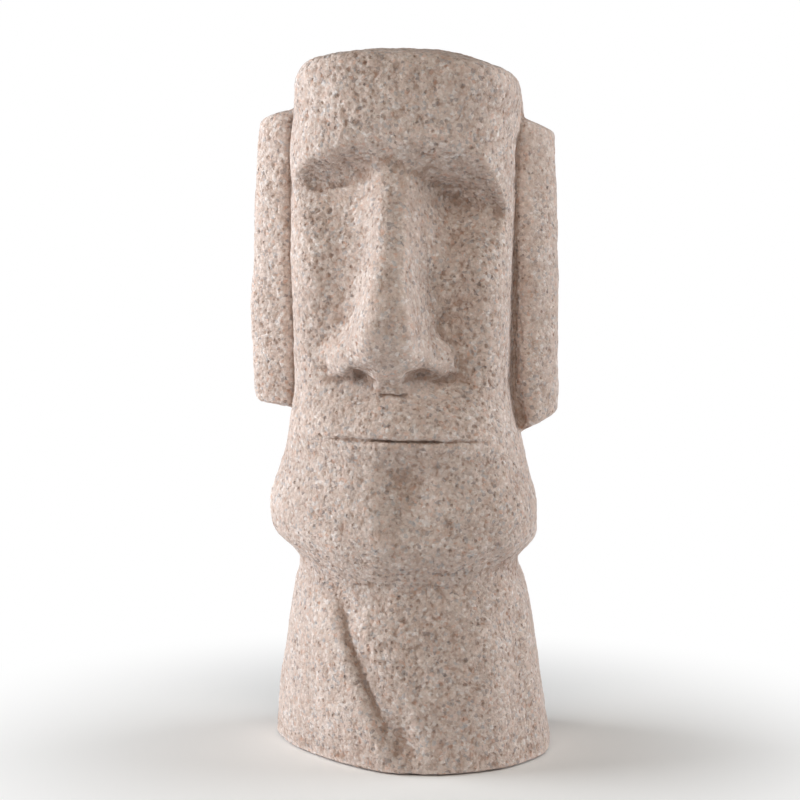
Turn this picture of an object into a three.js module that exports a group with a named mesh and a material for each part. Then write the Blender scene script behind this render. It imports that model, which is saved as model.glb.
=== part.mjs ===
// A moai head statue: a stone-cast head with long ears on a short torso, cut flat below, made in one piece.
// Millimetres, +Z up. The face looks along -Y, and the origin is at the middle of the footprint's box.
//
// The surface is one skin. Level rings run round the figure, each with the same number of columns, so that a
// column can be followed from the foot up the torso, the face or an ear to the middle of the crown.

import * as THREE from "three";

// ---------------------------------------------------------------- driving sizes

const HEIGHT = 278.4;

// Heights of the features above the foot.
const NECK = 76;
const JAW = 98;
const MOUTH = 128.3;
const NOSE_BASE = 149;
const BROW = 240;
const CROWN_EDGE = 273.4;

const HEAD_MIDDLE = 3; // the head sits this far to +X of the ears' middle

// ---------------------------------------------------------------- outlines of the body without its ears
// Each is a list of [height, distance from the axis]. "minus" and "plus" are the -X and +X sides.

const MINUS_SIDE = [
  [0, 55.5], [16, 53.5], [48, 47.5], [66, 44.2], [NECK + 1, 41.3], [82, 44.5], [88, 51], [JAW, 53],
  [114, 48.8], [128, 45], [150, 42], [200, 43], [240, 43.4], [256, 42], [268, 40.8], [CROWN_EDGE, 37.2],
];
const PLUS_SIDE = [
  [0, 59.5], [16, 57], [48, 52.6], [66, 49.6], [NECK + 2, 45.6], [83, 49], [89, 53.6], [JAW + 2, 54.2],
  [114, 50.4], [126, 47.4], [150, 43.2], [200, 44.4], [240, 45.6], [253, 47.4], [262, 47], [CROWN_EDGE, 45.6],
];
const FRONT_LINE = [
  [0, 53], [20, 50.5], [48, 47], [60, 43.6], [69, 42.2], [75, 45.5], [81.5, 50.5], [90, 53.5], [104, 53.8],
  [112, 52], [120, 51], [MOUTH + 2, 52], [NOSE_BASE + 3, 44.2], [200, 46], [220, 46.5], [BROW + 4, 50],
  [262, 52], [270, 51], [CROWN_EDGE, 48.5],
];
const BACK_LINE = [
  [0, 50], [30, 45], [62, 39.5], [84, 37], [110, 38], [150, 41.5], [220, 42.5], [248, 41], [264, 37.5],
  [CROWN_EDGE, 31],
];

// Where the front is foremost (x), where each side is widest (y), and how square the outline is from above.
const KEEL = [[0, 10], [40, 6], [68, 2], [82, -3], [112, -3.5], [124, 1], [140, HEAD_MIDDLE]];
const MINUS_WIDEST = [[0, 18], [30, 10], [NECK, -4], [JAW, -12], [124, -6], [150, 0]];
const PLUS_WIDEST = [[0, -6], [NECK, -6], [JAW, -12], [124, -6], [150, 0]];
const MINUS_SQUARENESS = [
  [0, 1.6], [30, 1.9], [NECK, 1.9], [JAW, 1.65], [112, 1.75], [MOUTH, 2.5], [142, 3.1], [154, 3.6],
  [170, 3.8], [220, 3.6], [250, 2.9], [CROWN_EDGE, 3.6],
];
const PLUS_SQUARENESS = [
  [0, 1.85], [30, 2.2], [NECK, 2.5], [JAW, 2.7], [MOUTH, 3.2], [160, 3.8], [220, 3.6], [250, 2.9],
  [CROWN_EDGE, 4.5],
];
const BACK_SQUARENESS = [[0, 3.4], [NECK, 3], [JAW, 2.3], [135, 3.2], [HEIGHT, 3.6]];

// ---------------------------------------------------------------- features

const EAR = { front: -15, back: 12 };
const MINUS_EAR = {
  top: 254.5,
  bottom: 136.2,
  reach: [[137, 60], [144, 61.2], [160, 61.8], [175, 62.4], [197, 61], [238, 59.2], [250, 58], [255, 55.5]],
  grooveDepth: [2, 3], // the groove along its root, at its top and its bottom
  grooveShare: [0.07, 0.08],
  topSlope: -0.5,
  bottomSlope: 0.5,
};
const PLUS_EAR = {
  top: 251.8,
  bottom: 129.4,
  reach: [[129, 62], [172, 61.9], [217, 61.2], [238, 60.2], [248, 59.8], [252, 57.5]],
  grooveDepth: [0.6, 8],
  grooveShare: [0.07, 0.28],
  topSlope: -1.5,
  bottomSlope: 4.4,
};
const EAR_END = 3; // how far an ear's square end is rounded

// An ear's columns from the front of its root round to the back: shares of its thickness and of its reach.
// The first two are the groove's near wall and floor, and the third is the front edge beyond it.
const EAR_SHAPE = [[0, 0], [0, 0], [0, 0.1], [0.17, 0.72], [0.42, 1], [0.72, 1], [0.95, 0.8], [1, 0.35]];
const GROOVE_FLOOR = 0.6; // how far across the groove its floor's column lies

// The ridge of the nose at heights down the face: its middle, its height, and half the widths of its flat
// front and of its foot on the cheeks.
const NOSE = {
  middle: [[150, -1.2], [175, 0], [204, 1], [230, 2.4]],
  height: [
    [146.5, 0], [150, 5], [154, 10.5], [160, 15.5], [167, 19], [174, 19.8], [182, 17], [191, 13], [204, 8.5],
    [222, 5.5], [230, 4], [238, 0],
  ],
  flat: [[155, 10.5], [167, 10.5], [176, 8.3], [186, 6.3], [204, 5], [230, 5]],
  foot: [[155, 22], [160, 21.5], [167, 20], [175, 17.5], [186, 14.4], [204, 12.6], [230, 11]],
  plusFlank: 0.75, // the flank towards +X is steeper: its width as a share of the other's
};

// The wings and nostrils are round lobes beside the ridge, at this distance from its middle.
const WING = { out: 16.8, z: 159.5, halfWidth: 9.2, halfHeight: 8.5, height: 13 };
const WING_BLEND = 2.5; // how widely a wing flows into the ridge
const NOSTRIL = { out: 11.3, z: 151.4, halfWidth: 5.5, halfHeight: 4.6, depth: 14 };

// Each brow's underside leans back from its arch to a crease: [x, height] along both edges.
const BROW_ARCH = [
  [-38, 228.5], [-32, 232.5], [-23, 236], [-13, 240], [-2, 241], [5, 239.5], [14, 241], [25, 239],
  [31, 236], [37, 229], [43, 219.5],
];
const BROW_CREASE = [[-38, 226.5], [-17, 227.5], [-6, 231], [5, 231], [11, 227], [20, 221], [42, 215]];
const SOCKET = {
  depth: [
    [-43, 3], [-37, 10], [-29, 15], [-13, 14], [-6, 9], [4, 9.5], [12, 14], [24, 17.5], [36, 15], [44, 3],
  ],
  lean: 0.9, // how late the underside turns inwards
  fade: 24, // how far below the crease the socket has run out
  fadeShare: 0.9,
  spring: 0.8, // under 1, the socket comes forward sharply from the crease
};

// The hollow of each cheek beside the nose, towards -X and +X, between where it starts and stops.
const CHEEKS = { x: [-21, 21], halfWidth: 9.5, depth: [4.2, 9.5], top: [234, 215], bottom: [140, 158] };
const SLIT = {
  ends: [-30, 37],
  deepEnds: [-8, 22], // between these it is at its full depth
  halfHeight: 0.9,
  depth: 3.4,
  endDepth: 0.2,
};
// The swelling of the lips, the hollow under them and the keel of the chin beside it.
const LIPS = { x: 4, z: 131, halfHeight: 13, halfWidth: 19, height: 4 };
const LIP_HOLLOW = { x: 6, z: 110, halfHeight: 13, halfWidth: 10, depth: 6.4 };
const CHIN_KEEL = { x: -4.5, z: 94, halfWidth: 6, halfHeight: 20, height: 1.2 };

// The torso: an arm on each side, parted from the belly by a furrow that starts sharply and recovers slowly.
const MINUS_FURROW = {
  top: [-23, 66], // x and height of both ends
  foot: [5, 2],
  edge: 3.4,
  recover: [5.5, 15], // how wide the furrow is at its top and its foot
  depth: 7.5,
  swell: 2.5, // how far the arm stands out beside it
  arm: 14, // how wide the arm's swelling is
};
const PLUS_FURROW = {
  top: [46.5, 63],
  foot: [54.5, 4],
  edge: -4,
  recover: [-9, -15],
  depth: 6,
  swell: 1,
  arm: -7,
};
const FURROW_FOOT = [0, 16]; // between these heights it runs out, down to FURROW_FOOT_SHARE of its depth
const FURROW_FOOT_SHARE = 0.2;
const FURROW_TOP = [4, -8]; // above its top point, where a furrow starts and where it is at its full depth
const FURROW_EDGE = 0.5; // how much of the edge lies beyond the furrow's line
const ARM_CREST = 0.7; // how far back from the line the arm is fullest, as a share of its width

// ---------------------------------------------------------------- rings and columns

const FRONT_COLUMNS = 16; // from the foremost line to the front of an ear
const EAR_COLUMNS = 8;
const BACK_COLUMNS = 6; // from the back of an ear to the middle of the back
const FRONT_CROWD = 1.12; // over 1, the front's columns stand closer near its middle
const OUTLINE_STEPS = 60; // points on a quarter of an outline, from which the columns are spaced

// Bands of rings: [height where the band starts, spacing in it].
const RING_BANDS = [
  [0, 1.5], [3, 7.7], [65, 3.4], [NECK - 1.5, 2.8], [92, 5.4], [MOUTH - 2.4, 1.5], [MOUTH - 0.9, 0.9],
  [MOUTH + 0.9, 1.5], [MOUTH + 2.4, 2.4], [136.2, 1.2], [140, 2], [144, 1.8], [156, 5.2], [208, 3.6],
  [246, 1.8], [256, 4], [268, 2.4], [CROWN_EDGE, 0],
];
const RING_TILT = 0.018; // the head's rings dip towards +X
const CROWN_RINGS = [0.95, 0.83, 0.62, 0.38, 0.14]; // sizes of the rings that close the crown
const CROWN_DROP = { from: 253, tilt: 0.036, round: 0.0026 }; // it leans to +X and falls away to both sides

// ---------------------------------------------------------------- small helpers

const clamp = (v, low, high) => Math.min(high, Math.max(low, v));
const mix = (a, b, t) => a + (b - a) * t;

// 0 before a, 1 past b, and smooth between; a may be greater than b.
function rise(a, b, v) {
  const t = clamp((v - a) / (b - a), 0, 1);
  return t * t * (3 - 2 * t);
}

// A round-topped hill of height 1 that has all but died out at twice its width.
const hill = (distance, width) => Math.exp(-((distance / width) ** 2));

// The larger of two heights, blended over about k where they are alike.
const blendMax = (a, b, k) => (a + b + Math.sqrt((a - b) ** 2 + k * k)) / 2;

// The value at v on the smooth curve through the knots [v, value], which never overshoots them.
function through(knots, v) {
  if (v <= knots[0][0]) return knots[0][1];
  const last = knots.length - 1;
  if (v >= knots[last][0]) return knots[last][1];
  let i = 0;
  while (v > knots[i + 1][0]) i++;
  const slope = (j) => (knots[j + 1][1] - knots[j][1]) / (knots[j + 1][0] - knots[j][0]);
  const tangent = (j) => {
    if (j === 0) return slope(0);
    if (j === last) return slope(last - 1);
    const [before, after] = [slope(j - 1), slope(j)];
    return before * after <= 0 ? 0 : (2 * before * after) / (before + after);
  };
  const span = knots[i + 1][0] - knots[i][0];
  const t = (v - knots[i][0]) / span;
  const [h00, h10] = [2 * t ** 3 - 3 * t ** 2 + 1, t ** 3 - 2 * t ** 2 + t];
  const [h01, h11] = [3 * t ** 2 - 2 * t ** 3, t ** 3 - t ** 2];
  return h00 * knots[i][1] + h10 * span * tangent(i) + h01 * knots[i + 1][1] + h11 * span * tangent(i + 1);
}

// ---------------------------------------------------------------- the front's carving, as heights along -Y

// A round lobe on both sides of the nose: 1 at its middle and 0 at its edge.
function dome(lobe, off, z) {
  const share = 1 - ((off - lobe.out) / lobe.halfWidth) ** 2 - ((z - lobe.z) / lobe.halfHeight) ** 2;
  return Math.sqrt(Math.max(0, share));
}

function nose(x, z) {
  const past = x - through(NOSE.middle, z);
  const off = Math.abs(past);
  const [flat, foot] = [through(NOSE.flat, z), through(NOSE.foot, z)];
  const flank = (foot - flat) * (past > 0 ? NOSE.plusFlank : 1);
  const ridge = through(NOSE.height, z) * (1 - rise(flat, flat + flank, off));
  const wing = WING.height * dome(WING, off, z);
  const nostril = NOSTRIL.depth * dome(NOSTRIL, off, z) ** 2;
  return Math.max(0, blendMax(ridge, wing, WING_BLEND) - WING_BLEND / 2 - nostril);
}

// The brow's underside leans back from its arch to a crease, and the socket fades out below it.
function brow(x, z) {
  const depth = through(SOCKET.depth, x);
  const crease = through(BROW_CREASE, x);
  const arch = through(BROW_ARCH, x);
  const lean = clamp((arch - z) / (arch - crease), 0, 1) ** SOCKET.lean;
  const below = clamp((crease - z) / SOCKET.fade, 0, 1) ** SOCKET.spring;
  return -depth * lean * (1 - SOCKET.fadeShare * below);
}

function cheek(x, z) {
  const hollow = (side) => CHEEKS.depth[side] * hill(x - CHEEKS.x[side], CHEEKS.halfWidth);
  return -rise(...CHEEKS.top, z) * rise(...CHEEKS.bottom, z) * (hollow(0) + hollow(1));
}

function mouth(x, z) {
  const along = rise(SLIT.ends[0], SLIT.deepEnds[0], x) * rise(SLIT.ends[1], SLIT.deepEnds[1], x);
  const inside = x > SLIT.ends[0] && x < SLIT.ends[1] ? 1 : 0;
  const across = clamp(1 - Math.abs(z - MOUTH) / SLIT.halfHeight, 0, 1);
  return -SLIT.depth * mix(SLIT.endDepth, 1, along) * inside * across;
}

function chin(x, z) {
  const spread = (form) => hill(z - form.z, form.halfHeight) * hill(x - form.x, form.halfWidth);
  const swelling = LIPS.height * spread(LIPS) + CHIN_KEEL.height * spread(CHIN_KEEL);
  return swelling - LIP_HOLLOW.depth * spread(LIP_HOLLOW);
}

// The arm swells up to the furrow's line, drops off over its edge, and the belly comes back slowly beyond.
function furrow({ top, foot, edge, recover, depth, swell, arm }, x, z) {
  const down = clamp((top[1] - z) / (top[1] - foot[1]), 0, 1);
  const past = x - mix(top[0], foot[0], down);
  const cut = rise(-edge, edge * FURROW_EDGE, past) * (1 - rise(0, mix(...recover, down), past));
  const crest = hill(past + arm * ARM_CREST, Math.abs(arm));
  const strength = mix(FURROW_FOOT_SHARE, 1, rise(...FURROW_FOOT, z));
  return strength * rise(top[1] + FURROW_TOP[0], top[1] + FURROW_TOP[1], z) * (swell * crest - depth * cut);
}

function carving(x, z) {
  const face = nose(x, z) + brow(x, z) + cheek(x, z) + mouth(x, z) + chin(x, z);
  return face + furrow(MINUS_FURROW, x, z) + furrow(PLUS_FURROW, x, z);
}

// ---------------------------------------------------------------- one ring

// Half of the body's outline seen from above, as points from the foremost line round one side to the back.
function halfOutline(z, side) {
  const keel = through(KEEL, z);
  const front = through(FRONT_LINE, z);
  const back = through(BACK_LINE, z);
  const reach = side > 0 ? through(PLUS_SIDE, z) : through(MINUS_SIDE, z);
  const widest = side > 0 ? through(PLUS_WIDEST, z) : through(MINUS_WIDEST, z);
  const frontSquareness = through(side > 0 ? PLUS_SQUARENESS : MINUS_SQUARENESS, z);
  const backSquareness = through(BACK_SQUARENESS, z);
  const wide = reach - side * keel;
  const points = [];
  for (let i = 0; i <= 2 * OUTLINE_STEPS; i++) {
    const angle = (i / OUTLINE_STEPS) * (Math.PI / 2);
    const ahead = i <= OUTLINE_STEPS;
    const power = 2 / (ahead ? frontSquareness : backSquareness);
    const out = wide * Math.abs(Math.sin(angle)) ** power;
    const deep = Math.abs(Math.cos(angle)) ** power;
    const y = ahead ? widest - (front + widest) * deep : widest + (back - widest) * deep;
    points.push(new THREE.Vector2(keel + side * out, y));
  }
  return points;
}

// Points spaced along a polyline at the given shares of its length.
function spaced(points, shares) {
  const lengths = [0];
  for (let i = 1; i < points.length; i++) lengths.push(lengths[i - 1] + points[i].distanceTo(points[i - 1]));
  const whole = lengths[lengths.length - 1];
  return shares.map((share) => {
    const target = share * whole;
    let i = 1;
    while (i < points.length - 1 && lengths[i] < target) i++;
    const t = (target - lengths[i - 1]) / (lengths[i] - lengths[i - 1]);
    return points[i - 1].clone().lerp(points[i], t);
  });
}

// Evenly spaced shares from 0 up to, but not including, 1; a crowd over 1 packs them towards 0.
const shares = (count, crowd = 1) => Array.from({ length: count }, (_, i) => (i / count) ** crowd);

// How far out an ear stands at this height, from 0 to 1, with its ends rounded.
function earShare(ear, z) {
  const near = Math.min(ear.top - z, z - ear.bottom);
  return Math.sqrt(1 - (1 - clamp(near / EAR_END, 0, 1)) ** 2);
}

function earPoints(ear, side, body, z) {
  const full = earShare(ear, z);
  const outer = through(ear.reach, z);
  const up = clamp((z - ear.bottom) / (ear.top - ear.bottom), 0, 1);
  const lean = mix(ear.bottomSlope, ear.topSlope, up);
  const [floor, rim] = [1, 2];
  const depth = mix(ear.grooveDepth[1], ear.grooveDepth[0], up);
  const width = mix(ear.grooveShare[1], ear.grooveShare[0], up);
  return EAR_SHAPE.map(([thick, share], i) => {
    const root = body[i];
    const out = share + (i === floor ? width * GROOVE_FLOOR : 0) + (i === rim ? width : 0);
    const reach = Math.max(0, outer - Math.abs(root.x));
    const y = mix(root.y, mix(EAR.front, EAR.back, thick) + (i < rim ? depth : 0), full);
    const x = root.x + side * reach * out * full;
    return new THREE.Vector3(x, y, z + lean * out * full);
  });
}

// One side's columns from the foremost line to the middle of the back, the last left for the other side.
function halfRing(z, side) {
  const outline = halfOutline(z, side);
  const earStart = outline.findIndex((p) => p.y > EAR.front);
  const earEnd = outline.findIndex((p) => p.y > EAR.back);
  const front = spaced(outline.slice(0, earStart), shares(FRONT_COLUMNS, FRONT_CROWD)).map(
    (p) => new THREE.Vector3(p.x, p.y - carving(p.x, z), z),
  );
  const flank = spaced(outline.slice(earStart - 1, earEnd + 1), shares(EAR_COLUMNS));
  const ear = earPoints(side > 0 ? PLUS_EAR : MINUS_EAR, side, flank, z);
  const level = (p) => new THREE.Vector3(p.x, p.y, z);
  const back = spaced(outline.slice(earEnd), shares(BACK_COLUMNS)).map(level);
  const middle = outline[outline.length - 1];
  return { points: [...front, ...ear, ...back], middle: level(middle) };
}

// The whole ring, counter-clockwise seen from above, starting at the foremost line.
function ring(z) {
  const plus = halfRing(z, 1);
  const minus = halfRing(z, -1);
  const points = [...plus.points, plus.middle, ...minus.points.slice(1).reverse()];
  for (const p of points) {
    const off = p.x - HEAD_MIDDLE;
    p.z -= rise(0, JAW, z) * RING_TILT * off;
    p.z -= rise(CROWN_DROP.from, CROWN_EDGE, z) * (CROWN_DROP.tilt * off + CROWN_DROP.round * off * off);
  }
  return points;
}

// ---------------------------------------------------------------- the statue

function ringHeights() {
  const heights = [];
  for (let i = 0; i < RING_BANDS.length - 1; i++) {
    const [from, step] = RING_BANDS[i];
    const span = RING_BANDS[i + 1][0] - from;
    const count = Math.max(1, Math.round(span / step));
    for (let j = 0; j < count; j++) heights.push(from + (span * j) / count);
  }
  return [...heights, CROWN_EDGE];
}

// Rings that shrink towards the crown's middle, rising as a low dome.
function crownRings(edge, middle) {
  return CROWN_RINGS.map((size) =>
    edge.map((p) => {
      const q = p.clone().lerp(middle, 1 - size);
      q.z = mix(p.z, middle.z, 1 - size * size);
      return q;
    }),
  );
}

function statueGeometry() {
  const rings = ringHeights().map(ring);
  const edge = rings[rings.length - 1];
  const middle = new THREE.Vector3(HEAD_MIDDLE, 0, HEIGHT);
  rings.push(...crownRings(edge, middle));

  const columns = edge.length;
  const points = [...rings.flat(), new THREE.Vector3(0, 0, 0), middle];
  const [footMiddle, crownMiddle] = [points.length - 2, points.length - 1];
  const faces = [];
  for (let r = 0; r + 1 < rings.length; r++) {
    for (let c = 0; c < columns; c++) {
      const [a, b] = [r * columns + c, r * columns + ((c + 1) % columns)];
      faces.push(a, b, b + columns, a, b + columns, a + columns);
    }
  }
  const last = (rings.length - 1) * columns;
  for (let c = 0; c < columns; c++) {
    const next = (c + 1) % columns;
    faces.push(footMiddle, next, c);
    faces.push(crownMiddle, last + c, last + next);
  }

  const geometry = new THREE.BufferGeometry().setFromPoints(points).setIndex(faces);
  geometry.computeBoundingBox();
  const { min, max } = geometry.boundingBox;
  geometry.translate(-(min.x + max.x) / 2, -(min.y + max.y) / 2, -min.z);
  geometry.computeVertexNormals();
  return geometry;
}

const sandstone = new THREE.MeshStandardMaterial({ color: 0xc9b6aa, roughness: 0.92, metalness: 0 });

const moai = new THREE.Mesh(statueGeometry(), sandstone);
moai.name = "moai_statue";

const statue = new THREE.Group();
statue.add(moai);

export default statue;
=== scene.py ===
# %% The measured frame
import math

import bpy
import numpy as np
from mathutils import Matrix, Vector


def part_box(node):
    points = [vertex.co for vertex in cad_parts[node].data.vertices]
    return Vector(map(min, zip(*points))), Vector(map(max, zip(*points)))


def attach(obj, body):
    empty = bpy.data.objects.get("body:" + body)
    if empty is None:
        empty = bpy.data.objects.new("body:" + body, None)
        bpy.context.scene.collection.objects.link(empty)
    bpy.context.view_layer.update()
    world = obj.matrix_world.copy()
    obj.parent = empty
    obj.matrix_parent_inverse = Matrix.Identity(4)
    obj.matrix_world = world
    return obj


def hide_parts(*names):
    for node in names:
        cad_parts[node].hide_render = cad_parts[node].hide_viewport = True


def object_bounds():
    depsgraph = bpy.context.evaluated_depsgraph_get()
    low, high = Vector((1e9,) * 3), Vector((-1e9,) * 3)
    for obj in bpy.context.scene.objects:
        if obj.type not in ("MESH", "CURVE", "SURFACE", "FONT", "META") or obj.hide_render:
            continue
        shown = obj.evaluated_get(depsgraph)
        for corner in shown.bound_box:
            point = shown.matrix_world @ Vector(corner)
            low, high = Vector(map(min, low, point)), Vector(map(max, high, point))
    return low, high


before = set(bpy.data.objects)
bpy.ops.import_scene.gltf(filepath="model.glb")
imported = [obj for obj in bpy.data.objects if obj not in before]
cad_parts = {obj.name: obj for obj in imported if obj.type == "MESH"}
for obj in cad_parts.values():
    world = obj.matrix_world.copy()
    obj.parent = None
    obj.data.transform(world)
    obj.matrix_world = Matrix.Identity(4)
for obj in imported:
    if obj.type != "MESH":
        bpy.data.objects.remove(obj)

# %% [markdown]
# A moai head for a shelf or a table, cast in one piece from bonded sandstone grit. The frame that was just
# loaded is the solid model of it, in metres, standing on z = 0 with the face towards -Y. It has the right
# size and the right main forms, but its skin is smooth and its edges are clean. A real casting of this kind
# is pressed into a mould taken from a hand-carved original, so its skin is uneven, pitted and grainy. This
# lesson gives it that skin, and every main form stays where the frame has it.

MM = 0.001
STATUE_NODE = "moai_statue"

cad_low, cad_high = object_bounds()
statue_low, statue_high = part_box(STATUE_NODE)
print("statue frame, mm:", [round(v / MM, 1) for v in statue_high - statue_low])


def work_on(piece):
    """Leaves edit mode, deselects everything and makes this piece the only one selected."""
    if bpy.context.object and bpy.context.object.mode != "OBJECT":
        bpy.ops.object.mode_set(mode="OBJECT")
    bpy.ops.object.select_all(action="DESELECT")
    piece.select_set(True)
    bpy.context.view_layer.objects.active = piece


def finish_with(piece, kind, **settings):
    """Adds one modifier to the piece and applies it."""
    work_on(piece)
    modifier = piece.modifiers.new(kind.lower(), kind)
    for key, value in settings.items():
        setattr(modifier, key, value)
    bpy.ops.object.modifier_apply(modifier=modifier.name)


def count(piece):
    return f"{len(piece.data.vertices)} vertices, {len(piece.data.polygons)} faces"


# %% [markdown]
# The skin starts as a copy of the solid. The solid's mesh is loose triangles, because that is how it was
# packed, so the copy is welded first and its triangles are paired back into quads, which subdivide evenly.
# Two levels of subdivision then turn the facets into flowing surfaces, as sanding a carved block would.
# The solid itself is never touched: it stays hidden inside as the measured truth.

# %% A welded, rounded copy of the solid
WELD_DISTANCE = 0.01 * MM
ROUNDING_LEVELS = 2

casting = bpy.data.objects.new("moai_casting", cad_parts[STATUE_NODE].data.copy())
bpy.context.scene.collection.objects.link(casting)
casting.data.materials.clear()

work_on(casting)
bpy.ops.object.mode_set(mode="EDIT")
bpy.ops.mesh.select_all(action="SELECT")
bpy.ops.mesh.remove_doubles(threshold=WELD_DISTANCE)
bpy.ops.mesh.tris_convert_to_quads(face_threshold=math.pi, shape_threshold=math.pi)
bpy.ops.object.mode_set(mode="OBJECT")
print("welded:", count(casting))

finish_with(casting, "SUBSURF", levels=ROUNDING_LEVELS, render_levels=ROUNDING_LEVELS)
print("rounded:", count(casting))

# %% [markdown]
# Lines as thin as the mouth, and relief as fine as sand, need points everywhere, not only where the face has
# its features. A voxel remesh wraps the form in an even net of tiny squares, like pressing it full of fresh
# clay. It is made finer than the finished piece can afford, because a later step thins it out again and keeps
# the points where the surface is busiest.

# %% An even net of clay
CLAY_VOXEL = 0.6 * MM

finish_with(casting, "REMESH", mode="VOXEL", voxel_size=CLAY_VOXEL, adaptivity=0)
print("even net:", count(casting))

# %% [markdown]
# The next steps act on all the points at once, where a sculptor would work over the clay with brushes. So the
# points are read into one array and written back in one go. A fade with a soft start and end decides where a
# step acts, as a brush's soft edge does, and a vertex group carries such a fade to a modifier.

# %% Helpers that read and write the points
WEIGHT_STEPS = 24


def read_points(piece):
    """The piece's points as an array with a row for each."""
    flat = np.empty(len(piece.data.vertices) * 3, np.float32)
    piece.data.vertices.foreach_get("co", flat)
    return flat.reshape(-1, 3).astype(float)


def write_points(piece, points):
    piece.data.vertices.foreach_set("co", points.astype(np.float32).ravel())
    piece.data.update()


def fade(start, end, values):
    """0 before start, 1 past end and smooth between; start may be greater than end."""
    share = np.clip((values - start) / (end - start), 0, 1)
    return share * share * (3 - 2 * share)


def set_weights(piece, name, weights):
    """Makes a vertex group whose weights limit where a modifier acts, in steps fine enough not to show."""
    group = piece.vertex_groups.new(name=name)
    levels = np.rint(np.clip(weights, 0, 1) * WEIGHT_STEPS).astype(int)
    for level in range(1, WEIGHT_STEPS + 1):
        group.add(np.flatnonzero(levels == level).tolist(), level / WEIGHT_STEPS, "REPLACE")


# %% [markdown]
# A few lines on a carved head are sharper than the form around them: the slit of the mouth, the nostrils, the
# folds under the brows, the edge of each nose wing, the groove beside one ear and the furrow between the arm
# and the belly. A carver draws them last with the corner of a chisel. A Boolean with thin cutters would make
# slots that are deep in the middle and miss the skin at the ends, because no part of the face is flat. So
# each line is pressed in from the front, as a sculpting brush does it, and keeps its depth along its way.
# Two of them work the other way: one fills the solid's crease past the mouth's end towards -X, the other
# raises the belly beside the furrow.

# %% Lines drawn with the chisel
# Name, width to the left and to the right of its way, depth (mm), then the places it passes, x and z (mm).
# Drawn towards +X, a line's left is above it; drawn downwards, its left is towards +X. A depth below zero
# raises the skin, and a single place is a pit.
CHISEL_LINES = (
    ("mouth", 0.7, 0.6, 1.6, (-9.4, 128.6), (6, 128.2), (22, 127.9)),
    ("mouth's minus end, filled", 1.0, 1.0, -0.35, (-31, 130.2), (-20.8, 129.8), (-10, 128.8)),
    ("mouth's plus end", 0.6, 0.6, 0.35, (20, 127.9), (32, 127.5)),
    ("minus nostril", 0.8, 5.4, 2.3, (-16.4, 154.6), (-15, 155.6), (-10.6, 153.6), (-4.6, 150)),
    ("plus nostril", 0.8, 4.8, 1.75, (4.6, 153.4), (9, 154.8), (14, 154.4), (18.8, 152.2)),
    ("nose foot", 0.6, 1.2, 1.7, (-4.7, 145.2), (0, 145.5), (3, 145.0), (6.8, 145.6)),
    ("minus wing", 0.8, 3.0, 0.8, (-21.1, 163.5), (-24.3, 160.3), (-25.6, 157.2), (-24.8, 153.4)),
    ("plus wing", 3.4, 0.8, 1.4, (15.5, 171.2), (19.3, 166.4), (22.4, 163.2), (24, 159.6), (23.4, 153.5)),
    ("minus brow", 3.0, 0.8, 0.8, (-35, 222.0), (-24.7, 223.8), (-14.6, 225.4)),
    ("plus brow", 3.0, 0.9, 0.9, (10, 224.5), (25, 224.0), (33, 222.8)),
    ("furrow", 2.0, 1.8, 1.3, (-23.6, 65), (-19.4, 57.5), (-17.2, 49), (-12.4, 37), (-7, 27), (-2, 16)),
    ("belly beside it", 6.5, 4.6, -2.1, (-18.6, 62), (-13, 50), (-5.2, 33), (2.5, 14)),
    ("plus groove", 1.3, 1.3, 1.7, (45.2, 208), (44.8, 138)),
    ("stray pit", 1.4, 1.4, 1.2, (-24.8, 214.9)),
)
TAPER = 0.18  # the share of a line over which each of its ends runs out
FLANK_CURVE = 1.5  # above 1, a line's flanks flow into the skin without an edge
FRONT_FADE = (10, 0)  # y (mm): nothing behind the first, all of a line's depth in front of the second
POINT_LENGTH = 1e-6  # the length that a pit's way counts as


def from_line(points, places):
    """How far each point lies to the left of a line drawn on the front, and its share of the line's way."""
    seen = points[:, [0, 2]] / MM
    if len(places) == 1:
        places = places * 2
    places = np.array(places, float)
    lengths = np.maximum(np.linalg.norm(np.diff(places, axis=0), axis=1), POINT_LENGTH)
    starts = np.concatenate([[0], np.cumsum(lengths)])
    away = np.full(len(seen), np.inf)
    share = np.zeros(len(seen))
    for start, end, length, passed in zip(places, places[1:], lengths, starts):
        way = (end - start) / length
        along = np.clip((seen - start) @ way / length, 0, 1)
        offset = seen - start - along[:, None] * (end - start)
        distance = np.linalg.norm(offset, axis=1)
        closer = distance < np.abs(away)
        left = np.where(way[0] * offset[:, 1] - way[1] * offset[:, 0] >= 0, 1, -1)
        away[closer] = (distance * left)[closer]
        share[closer] = (passed + along[closer] * length) / starts[-1]
    return away, share


points = read_points(casting)
on_front = fade(*FRONT_FADE, points[:, 1] / MM)
for name, left_width, right_width, depth, *places in CHISEL_LINES:
    away, share = from_line(points, places)
    profile = np.clip(1 - (away / np.where(away > 0, left_width, right_width)) ** 2, 0, 1) ** FLANK_CURVE
    ends = fade(0, TAPER, share) * fade(1, 1 - TAPER, share) if len(places) > 1 else 1
    points[:, 1] += depth * MM * profile * ends * on_front
    print(f"{name}: {depth:.1f} mm deep, moved {int((profile > 0).sum())} points")
write_points(casting, points)

# %% [markdown]
# The cast skin isn't equally rough everywhere: one ear, the cheeks, the forehead and the belly are rough, and
# the nose, the jaw and one arm are smoother. That could be painted by hand with a weight brush. A function
# gives the same strength at any point and on any net, so the finish can use it again later. The flat foot
# stays free of relief.

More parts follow.
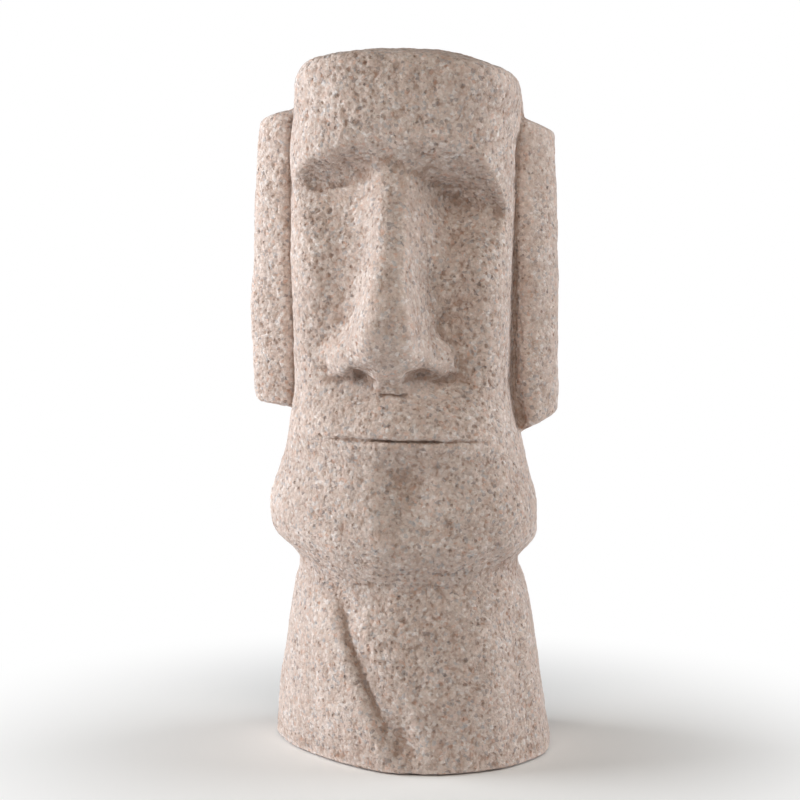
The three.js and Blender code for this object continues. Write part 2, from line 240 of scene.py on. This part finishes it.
# %% Where the skin is rough
FOOT_MARGIN = (0.6, 3.0)  # between these heights (mm) the relief sets in
COMMON_ROUGHNESS = 0.52
ROUGH_EARS = (  # where the ear starts across and at its foot (mm), and how much rougher than the rest
    ((-43, -47), (130, 140), 0.26),
    ((48, 52), (124, 132), -0.12),
)
EAR_TOP = (258, 250)  # z (mm): nothing above the first, all of an ear's amount below the second
ROUGH_PATCHES = (  # x and z of the middle, reach along x and z (mm), and how much rougher than the rest
    (-30, 200, 11, 34, 0.45),  # the cheek towards -X
    (28, 186, 13, 34, 0.42),  # the cheek towards +X
    (-14, 262, 26, 20, 0.30),  # the forehead
    (6, 42, 22, 26, 0.36),  # the belly
    (31, 154, 9, 17, 0.38),  # beside the nose towards +X
    (2, 186, 11, 34, -0.30),  # the ridge of the nose
    (2, 160, 20, 10, -0.30),  # its tip
    (-28, 98, 20, 16, -0.10),  # the jaw
    (-44, 32, 15, 36, -0.30),  # the arm towards -X
    (42, 36, 16, 36, 0.12),  # the arm towards +X
)
PATCH_FRONT = (10, -10)  # y (mm): no patch behind the first, all of its amount in front of the second
ROUGHNESS_RANGE = (0.12, 1.0)


def roughness_at(points):
    """How rough the skin is at these points, from 0 to 1."""
    x, y, z = points.T / MM
    rough = np.full(len(points), COMMON_ROUGHNESS)
    for across, foot, amount in ROUGH_EARS:
        rough += amount * fade(*across, x) * fade(*foot, z) * fade(*EAR_TOP, z)
    for middle_x, middle_z, reach_x, reach_z, amount in ROUGH_PATCHES:
        away = ((x - middle_x) / reach_x) ** 2 + ((z - middle_z) / reach_z) ** 2
        rough += amount * np.exp(-away) * fade(*PATCH_FRONT, y)
    return np.clip(rough, *ROUGHNESS_RANGE)


points = read_points(casting)
clear_of_foot = fade(*FOOT_MARGIN, points[:, 2] / MM)
set_weights(casting, "all_but_foot", clear_of_foot)
set_weights(casting, "rough", clear_of_foot * roughness_at(points))
print("mean roughness:", round(float(roughness_at(points).mean()), 2))

# %% [markdown]
# The relief has four layers: slow unevenness from the hand that shaped the original, lumps a few millimetres
# wide, short worm-like creases, and pits where grains fell out. Sculpting them one by one would take days. A
# Displace modifier moves the skin in and out by a procedural texture instead, one for each layer, and the
# three finer ones are a little taller than wide, as if the clay had been stroked upwards.

# %% Four layers of relief
UPRIGHT_STRETCH = 1.25
CREASE_RAMP = ((0.0, 0.0), (0.30, 1.0))  # what the texture gives, and the level that this becomes
PIT_RAMP = ((0.04, 0.0), (0.30, 1.0))
ONLY_INWARDS = 1  # as the middle level: the skin stays where the texture is white and sinks elsewhere


def relief(piece, name, kind, size, strength, group, stretch=None, middle=0.5, ramp=None, **settings):
    """Moves the skin in below the texture's middle level and out above it, along its normals."""
    texture = bpy.data.textures.new(name, kind)
    texture.noise_scale = size
    for key, value in settings.items():
        setattr(texture, key, value)
    if ramp:
        texture.use_color_ramp = True
        for end, (position, level) in zip(texture.color_ramp.elements, ramp):
            end.position = position
            end.color = (level, level, level, 1)
    choices = {"texture_coords": "LOCAL"}
    if stretch:
        choices = {"texture_coords": "OBJECT", "texture_coords_object": stretch}
    finish_with(
        piece, "DISPLACE", texture=texture, strength=strength, mid_level=middle, vertex_group=group, **choices
    )
    print(f"{name}: {size / MM:.1f} mm wide, {strength / MM:.2f} mm high")


bpy.ops.object.select_all(action="DESELECT")
bpy.ops.object.empty_add(location=(0, 0, 0))
upright = bpy.context.object
upright.scale = (1, 1, UPRIGHT_STRETCH)
bpy.context.view_layer.update()

relief(
    casting, "hand_unevenness", "CLOUDS", size=11 * MM, strength=1.0 * MM, group="all_but_foot",
    noise_depth=1,
)
relief(
    casting, "lumps", "CLOUDS", size=3.8 * MM, strength=1.05 * MM, group="rough", stretch=upright,
    noise_depth=2,
)
relief(
    casting, "worm_creases", "CLOUDS", size=2.8 * MM, strength=0.40 * MM, group="rough", stretch=upright,
    middle=ONLY_INWARDS, ramp=CREASE_RAMP, noise_type="HARD_NOISE", noise_depth=0,
)
relief(
    casting, "lost_grains", "VORONOI", size=3.4 * MM, strength=0.95 * MM, group="rough", stretch=upright,
    middle=ONLY_INWARDS, ramp=PIT_RAMP,
)
bpy.data.objects.remove(upright)

# %% [markdown]
# The net now has far more points than the relief needs. Collapsing edges thins it out where the skin is
# even and leaves the rims of the pits alone, as a sculptor's decimation does before a model is printed. The
# foot is then pressed flat again, because the real one is cut off flat and has to stand without rocking.

# %% Thin out the net and flatten the foot
FINISHED_TRIANGLES = 196_000
FOOT_PRESS = 0.25 * MM

casting.vertex_groups.clear()
finish_with(casting, "TRIANGULATE")
finish_with(casting, "DECIMATE", ratio=min(1.0, FINISHED_TRIANGLES / len(casting.data.polygons)))

points = read_points(casting)
points[points[:, 2] < FOOT_PRESS, 2] = 0
points = np.clip(points, np.array(cad_low), np.array(cad_high))
write_points(casting, points)
work_on(casting)
bpy.ops.object.shade_smooth()
print("finished net:", count(casting))

# %% [markdown]
# Where the skin lies back, the stone's colour is made browner and darker: partly dust and resin that gather
# there, partly painted shade for the hollow. Rims are made paler: partly wear from hands, partly a painted
# highlight. How far a point lies back is measured by smoothing a copy of the points a few times and looking
# how far each one has moved outwards. Most of what its surroundings lie back is taken off again, or a broad
# hollow such as the one under the lip would count as one large pit. That, and the roughness, are kept on the
# piece as attributes, so that the stone's material can read them.

# %% How deep and how rough the skin is, for the finish
SMOOTHING_ROUNDS = 9
SURROUNDING_ROUNDS = 36
SURROUNDING_SHARE = 0.8
DEEP = 0.30 * MM
LEVEL = 0.5  # the value where the skin is level, between 0 where it stands out and 1 where it lies back


def smoothed(rows, edges, rounds):
    """Each point's row of values replaced, this many times, by the middle of its neighbours' rows."""
    first, second = edges.T
    neighbours = np.bincount(first, minlength=len(rows)) + np.bincount(second, minlength=len(rows))
    for _ in range(rounds):
        sums = [
            np.bincount(first, column[second], len(rows)) + np.bincount(second, column[first], len(rows))
            for column in rows.T
        ]
        rows = np.array(sums).T / neighbours[:, None]
    return rows


def keep_on_piece(piece, name, values):
    attribute = piece.data.attributes.new(name, "FLOAT", "POINT")
    attribute.data.foreach_set("value", values.astype(np.float32))
    print(f"{name}: {values.min():.2f} to {values.max():.2f}, mean {values.mean():.2f}")


edges = np.empty(len(casting.data.edges) * 2, np.int32)
casting.data.edges.foreach_get("vertices", edges)
edges = edges.reshape(-1, 2)
normals = np.empty(len(points) * 3, np.float32)
casting.data.vertices.foreach_get("normal", normals)
calm = smoothed(points, edges, SMOOTHING_ROUNDS)
lies_back = ((calm - points) * normals.reshape(-1, 3)).sum(axis=1)
surroundings = smoothed(lies_back[:, None], edges, SURROUNDING_ROUNDS)[:, 0]
lies_back -= SURROUNDING_SHARE * surroundings
keep_on_piece(casting, "lies_back", np.clip(LEVEL + LEVEL * lies_back / DEEP, 0, 1))
keep_on_piece(casting, "roughness_of_skin", roughness_at(points))

# %% [markdown]
# The casting has one finish all over: sand that shows its grains, dry and nearly matt. By hand, its nodes are
# laid out and wired in the shader editor. A helper for each kind of node does the same here, so that the
# steps after this one can say what is mixed with what, and leave out how each wire runs.

# %% The stone, and helpers that lay out its nodes
STONE_ROUGHNESS = 0.93
STONE_SPECULAR = 0.3

stone = bpy.data.materials.new("bonded_sandstone")
stone.use_nodes = True
nodes = stone.node_tree.nodes
links = stone.node_tree.links
shader = nodes["Principled BSDF"]
shader.inputs["Roughness"].default_value = STONE_ROUGHNESS
shader.inputs["Specular IOR Level"].default_value = STONE_SPECULAR


def put(socket, value):
    """Links an output to a socket, or sets a plain value on it."""
    if isinstance(value, bpy.types.NodeSocket):
        links.new(value, socket)
    else:
        socket.default_value = value


def calculate(operation, *values):
    node = nodes.new("ShaderNodeMath")
    node.operation = operation
    for socket, value in zip(node.inputs, values):
        put(socket, value)
    return node.outputs[0]


def texture_at(place, kind, size, **settings):
    """A texture node with features about this large."""
    node = nodes.new(kind)
    links.new(place, node.inputs["Vector"])
    node.inputs["Scale"].default_value = 1 / size
    for key, value in settings.items():
        node.inputs[key].default_value = value
    return node


def blend(mode, share, first, second):
    node = nodes.new("ShaderNodeMix")
    node.data_type = "RGBA"
    node.blend_type = mode
    for key, value in (("Factor", share), ("A", first), ("B", second)):
        socket = next(s for s in node.inputs if s.name == key and s.enabled)
        put(socket, value)
    return next(s for s in node.outputs if s.enabled)


def steps(value, stops, interpolation="CONSTANT"):
    """A colour ramp: each stop is a place and a colour."""
    node = nodes.new("ShaderNodeValToRGB")
    node.color_ramp.interpolation = interpolation
    elements = node.color_ramp.elements
    while len(elements) < len(stops):
        elements.new(0.5)
    for element, (position, colour) in zip(elements, stops):
        element.position = position
        element.color = (*colour, 1)
    links.new(value, node.inputs["Fac"])
    return node.outputs["Color"]


def any_number(texture):
    """A number from 0 to 1 that is the same all over one cell."""
    node = nodes.new("ShaderNodeSeparateColor")
    links.new(texture.outputs["Color"], node.inputs["Color"])
    return node.outputs["Red"]


print("stone nodes at the start:", len(nodes))

# %% [markdown]
# The stone is real sand held by resin, so its colour is a mixture: most grains are a pinkish beige, and
# between them lie pale quartz, rust-red, brown, blue-grey and a few dark ones. Each cell of a Voronoi
# texture is one grain, and a ramp with sharp steps gives each its colour. Two sizes of grain are mixed, and a
# noise bends the cells a little, so that no regular net shows.

# %% The sandstone's grains
GRAIN = 1.3 * MM
FINE_GRAIN = 0.7 * MM
GRAIN_BEND = 0.6 * MM
BEND_SIZE = 1.6 * MM
FINE_SHARE = 0.35
GRAIN_COLOURS = (
    (0.00, (0.300, 0.262, 0.255)),
    (0.030, (0.430, 0.412, 0.418)),
    (0.085, (0.575, 0.388, 0.312)),
    (0.118, (0.545, 0.428, 0.366)),
    (0.19, (0.470, 0.378, 0.337)),
    (0.34, (0.580, 0.466, 0.418)),
    (0.60, (0.597, 0.502, 0.453)),
    (0.82, (0.680, 0.592, 0.548)),
    (0.94, (0.705, 0.655, 0.638)),
)

stone_place = nodes.new("ShaderNodeTexCoord").outputs["Object"]
bend = texture_at(stone_place, "ShaderNodeTexNoise", BEND_SIZE, Detail=1)
bent = nodes.new("ShaderNodeVectorMath")
bent.operation = "MULTIPLY_ADD"
links.new(bend.outputs["Color"], bent.inputs[0])
bent.inputs[1].default_value = (GRAIN_BEND, GRAIN_BEND, GRAIN_BEND)
links.new(stone_place, bent.inputs[2])
grain_place = bent.outputs["Vector"]

coarse = texture_at(grain_place, "ShaderNodeTexVoronoi", GRAIN)
fine = texture_at(grain_place, "ShaderNodeTexVoronoi", FINE_GRAIN)
coarse_colour = steps(any_number(coarse), GRAIN_COLOURS)
fine_colour = steps(any_number(fine), GRAIN_COLOURS)
grains = blend("MIX", FINE_SHARE, coarse_colour, fine_colour)
print("grains:", [round(size / MM, 2) for size in (GRAIN, FINE_GRAIN)], "mm")

# %% [markdown]
# Over the grains lie slower changes. The resin has soaked in unevenly, so the sand is a little browner or a
# little paler, in patches of a few millimetres and in clouds of a centimetre or two. In the pits and creases
# it is browner and darker, partly dust and partly painted shade, and on the rims it is paler, partly wear and
# partly a painted highlight: the attribute made above says where. Pits too small for the net are cells of a
# Voronoi texture, darkened in the same way with painted shade, and the rougher the skin, the more of its
# cells are pits.

# %% Stains, dust and painted shade in recesses and pits, paler rims with a painted highlight
PATCH_SIZE = 3.2 * MM
PATCH_COLOURS = ((0.32, (0.92, 0.87, 0.84)), (0.50, (1.0, 1.0, 1.0)), (0.68, (1.04, 1.055, 1.07)))
CLOUD_SIZE = 16 * MM
CLOUD_COLOURS = ((0.30, (0.93, 0.91, 0.90)), (0.70, (1.06, 1.06, 1.06)))
# Browner and darker: partly dust, partly painted shade in pits, creases and hollows
DUST_AND_SHADE_COLOUR = (0.66, 0.57, 0.51, 1)
# Paler: partly wear on the rims, partly a painted highlight
WORN_AND_HIGHLIT_COLOUR = (1.10, 1.10, 1.10, 1)
PIT_CELL = 2.3 * MM
PIT_RIM = (0.12, 0.36)
PITTED_SHARE = 0.6  # of the cells, where the skin is roughest
DUST_AND_SHADE_BETWEEN = (0.58, 1.0)  # of lies_back
DUST_AND_SHADE_SHARE = 0.75
WORN_AND_HIGHLIT_BETWEEN = (0.46, 0.1)  # of lies_back


def kept(name):
    node = nodes.new("ShaderNodeAttribute")
    node.attribute_name = name
    return node.outputs["Fac"]


def between(value, low, high, start=0.0, end=1.0):
    """Start up to low, end from high on, and smooth between."""
    node = nodes.new("ShaderNodeMapRange")
    node.interpolation_type = "SMOOTHSTEP"
    for key, number in (("From Min", low), ("From Max", high), ("To Min", start), ("To Max", end)):
        node.inputs[key].default_value = number
    links.new(value, node.inputs["Value"])
    return node.outputs["Result"]


patches = texture_at(stone_place, "ShaderNodeTexNoise", PATCH_SIZE, Detail=3)
clouds = texture_at(stone_place, "ShaderNodeTexNoise", CLOUD_SIZE, Detail=2)
stained = blend("MULTIPLY", 1.0, grains, steps(patches.outputs["Fac"], PATCH_COLOURS, "LINEAR"))
stained = blend("MULTIPLY", 1.0, stained, steps(clouds.outputs["Fac"], CLOUD_COLOURS, "LINEAR"))

pit_cells = texture_at(grain_place, "ShaderNodeTexVoronoi", PIT_CELL)
is_pitted = calculate(
    "LESS_THAN", any_number(pit_cells), calculate("MULTIPLY", kept("roughness_of_skin"), PITTED_SHARE)
)
pits = calculate("MULTIPLY", between(pit_cells.outputs["Distance"], *PIT_RIM, 1.0, 0.0), is_pitted)

# Painted shade, together with dust: darkens where the skin lies back and inside the small pits
dust_and_shade_mask = calculate("MAXIMUM", between(kept("lies_back"), *DUST_AND_SHADE_BETWEEN), pits)
dusted_and_shaded = blend("MULTIPLY", calculate("MULTIPLY", dust_and_shade_mask, DUST_AND_SHADE_SHARE), stained, DUST_AND_SHADE_COLOUR)
# Painted highlight, together with wear: lightens the rims where the skin stands out
worn_and_highlit_mask = between(kept("lies_back"), *WORN_AND_HIGHLIT_BETWEEN)
links.new(blend("MULTIPLY", worn_and_highlit_mask, dusted_and_shaded, WORN_AND_HIGHLIT_COLOUR), shader.inputs["Base Color"])
print("stone nodes so far:", len(nodes))

# %% [markdown]
# Grains smaller than the net can hold still catch the light, so a bump carries them: the two sizes of grain
# as little domes, a noise for the crumbs of resin between them, and the small pits. Heights are in
# millimetres, so the bump's distance is one millimetre.

# %% The grain in the light
GRAIN_RELIEF = ((coarse, 0.16), (fine, 0.06))
CRUMB_SIZE = 1.7 * MM
CRUMB_RELIEF = 0.85
PIT_RELIEF = 0.45

crumbs = texture_at(stone_place, "ShaderNodeTexNoise", CRUMB_SIZE, Detail=3, Roughness=0.6)
height_of_skin = calculate("MULTIPLY", crumbs.outputs["Fac"], CRUMB_RELIEF)
for texture, height in GRAIN_RELIEF:
    height_of_skin = calculate("MULTIPLY_ADD", texture.outputs["Distance"], -height, height_of_skin)
height_of_skin = calculate("MULTIPLY_ADD", pits, -PIT_RELIEF, height_of_skin)

bump = nodes.new("ShaderNodeBump")
bump.inputs["Distance"].default_value = MM
bump.inputs["Strength"].default_value = 1.0
links.new(height_of_skin, bump.inputs["Height"])
links.new(bump.outputs["Normal"], shader.inputs["Normal"])

# %% [markdown]
# The casting gets its stone. It is then told which body it rides on, and the solid that it is shown in
# place of is hidden.

# %% The casting takes the solid's place
casting.data.materials.append(stone)
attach(casting, "root")
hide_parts(STATUE_NODE)
print("stone nodes:", len(nodes))

# %% [markdown]
# The statue is shown as a shop would show it. The camera is a long lens a little to the statue's left and
# above its middle, so that the head keeps its true proportions.

# %% Camera
LENS = 84.15  # mm, where every other length here is in metres
CAMERA_DISTANCE = 0.750
CAMERA_TURN = math.radians(6)
CAMERA_HEIGHT = 0.200
AIM = Vector((-0.0014, 0.0059, 0.1398))  # close to the statue's middle

camera_data = bpy.data.cameras.new("camera")
camera_data.lens = LENS
camera = bpy.data.objects.new("camera", camera_data)
bpy.context.scene.collection.objects.link(camera)
camera.location = (
    AIM.x + CAMERA_DISTANCE * math.sin(CAMERA_TURN),
    AIM.y - CAMERA_DISTANCE * math.cos(CAMERA_TURN),
    CAMERA_HEIGHT,
)
camera.rotation_euler = (AIM - camera.location).to_track_quat("-Z", "Y").to_euler()
bpy.context.scene.camera = camera
print("camera at, m:", [round(v, 3) for v in camera.location])

# %% [markdown]
# Two large soft lights stand at the statue's sides, the stronger towards -X, so that the cheeks and the ears
# are bright and the front shows its form in soft shade. A weaker and warmer one hangs above the camera and
# keeps the hollows from going black.

# %% Lights
LIGHT_DISTANCE = 1.1
LIGHT_SIZE = 0.9
LIGHTS = (  # name, turn from the camera and lift (degrees), power (W) and colour
    ("key", -95, 12, 16.6, (0.95, 0.98, 1.0)),
    ("fill", 98, 12, 9.7, (0.97, 0.99, 1.0)),
    ("front", 0, 39, 5.4, (1.0, 0.935, 0.84)),
)

for name, turn, lift, power, colour in LIGHTS:
    light = bpy.data.lights.new(name, "AREA")
    light.shape = "DISK"
    light.size = LIGHT_SIZE
    light.energy = power
    light.color = colour
    lamp = bpy.data.objects.new(name, light)
    bpy.context.scene.collection.objects.link(lamp)
    around = CAMERA_TURN + math.radians(turn)
    up = math.radians(lift)
    outward = Vector((math.sin(around) * math.cos(up), -math.cos(around) * math.cos(up), math.sin(up)))
    lamp.location = AIM + LIGHT_DISTANCE * outward
    lamp.rotation_euler = (-outward).to_track_quat("-Z", "Y").to_euler()
    print(f"{name} light: {power} W from {[round(v, 2) for v in lamp.location]} m")

# %% [markdown]
# The room itself gives no light, or the hollows would lose their shade, but the camera sees it white. A Light
# Path node tells the camera's own rays from those that carry light to the stone.

# %% A white room without light
WORLD_LIGHT = 0.0
SEEN_BRIGHTNESS = 1.0

world = bpy.data.worlds.new("white_room")
bpy.context.scene.world = world
world.use_nodes = True
room = world.node_tree
backdrop = room.nodes["Background"]
backdrop.inputs["Color"].default_value = (1, 1, 1, 1)
room_ray = room.nodes.new("ShaderNodeLightPath")
strength = room.nodes.new("ShaderNodeMapRange")
strength.inputs["To Min"].default_value = WORLD_LIGHT
strength.inputs["To Max"].default_value = SEEN_BRIGHTNESS
room.links.new(room_ray.outputs["Is Camera Ray"], strength.inputs["Value"])
room.links.new(strength.outputs["Result"], backdrop.inputs["Strength"])
print("room light:", WORLD_LIGHT, "and seen by the camera:", SEEN_BRIGHTNESS)

# %% [markdown]
# The floor is plain, matt and pale, so that the statue's soft shadow shows around its foot. Farther out it
# turns into pure white for the camera, which hides where the floor ends and the room begins.

# %% Floor
FLOOR_RADIUS = 6.0
FLOOR_CORNERS = 96
FLOOR_COLOUR = (0.9, 0.9, 0.9, 1)
FLOOR_ROUGHNESS = 0.9
WHITENS_BETWEEN = (0.066, 0.24)  # m from the statue's middle

bpy.ops.object.select_all(action="DESELECT")
bpy.ops.mesh.primitive_circle_add(
    vertices=FLOOR_CORNERS, radius=FLOOR_RADIUS, fill_type="NGON", location=(0, 0, 0)
)
floor = bpy.context.object
floor.name = "floor"
pale = bpy.data.materials.new("pale_floor")
pale.use_nodes = True
floor_nodes = pale.node_tree.nodes
floor_links = pale.node_tree.links
matt = floor_nodes["Principled BSDF"]
matt.inputs["Base Color"].default_value = FLOOR_COLOUR
matt.inputs["Roughness"].default_value = FLOOR_ROUGHNESS

floor_place = floor_nodes.new("ShaderNodeTexCoord")
reach = floor_nodes.new("ShaderNodeVectorMath")
reach.operation = "LENGTH"
floor_links.new(floor_place.outputs["Object"], reach.inputs[0])
whitening = floor_nodes.new("ShaderNodeMapRange")
whitening.interpolation_type = "SMOOTHSTEP"
whitening.inputs["From Min"].default_value, whitening.inputs["From Max"].default_value = WHITENS_BETWEEN
floor_links.new(reach.outputs["Value"], whitening.inputs["Value"])
floor_ray = floor_nodes.new("ShaderNodeLightPath")
only_seen = floor_nodes.new("ShaderNodeMath")
only_seen.operation = "MULTIPLY"
floor_links.new(whitening.outputs["Result"], only_seen.inputs[0])
floor_links.new(floor_ray.outputs["Is Camera Ray"], only_seen.inputs[1])

white = floor_nodes.new("ShaderNodeEmission")
matt_to_white = floor_nodes.new("ShaderNodeMixShader")
floor_links.new(only_seen.outputs["Value"], matt_to_white.inputs["Fac"])
floor_links.new(matt.outputs["BSDF"], matt_to_white.inputs[1])
floor_links.new(white.outputs["Emission"], matt_to_white.inputs[2])
floor_links.new(matt_to_white.outputs["Shader"], floor_nodes["Material Output"].inputs["Surface"])
floor.data.materials.append(pale)
print("floor:", FLOOR_RADIUS, "m to its edge")

bpy.context.scene.view_settings.view_transform = "Standard"
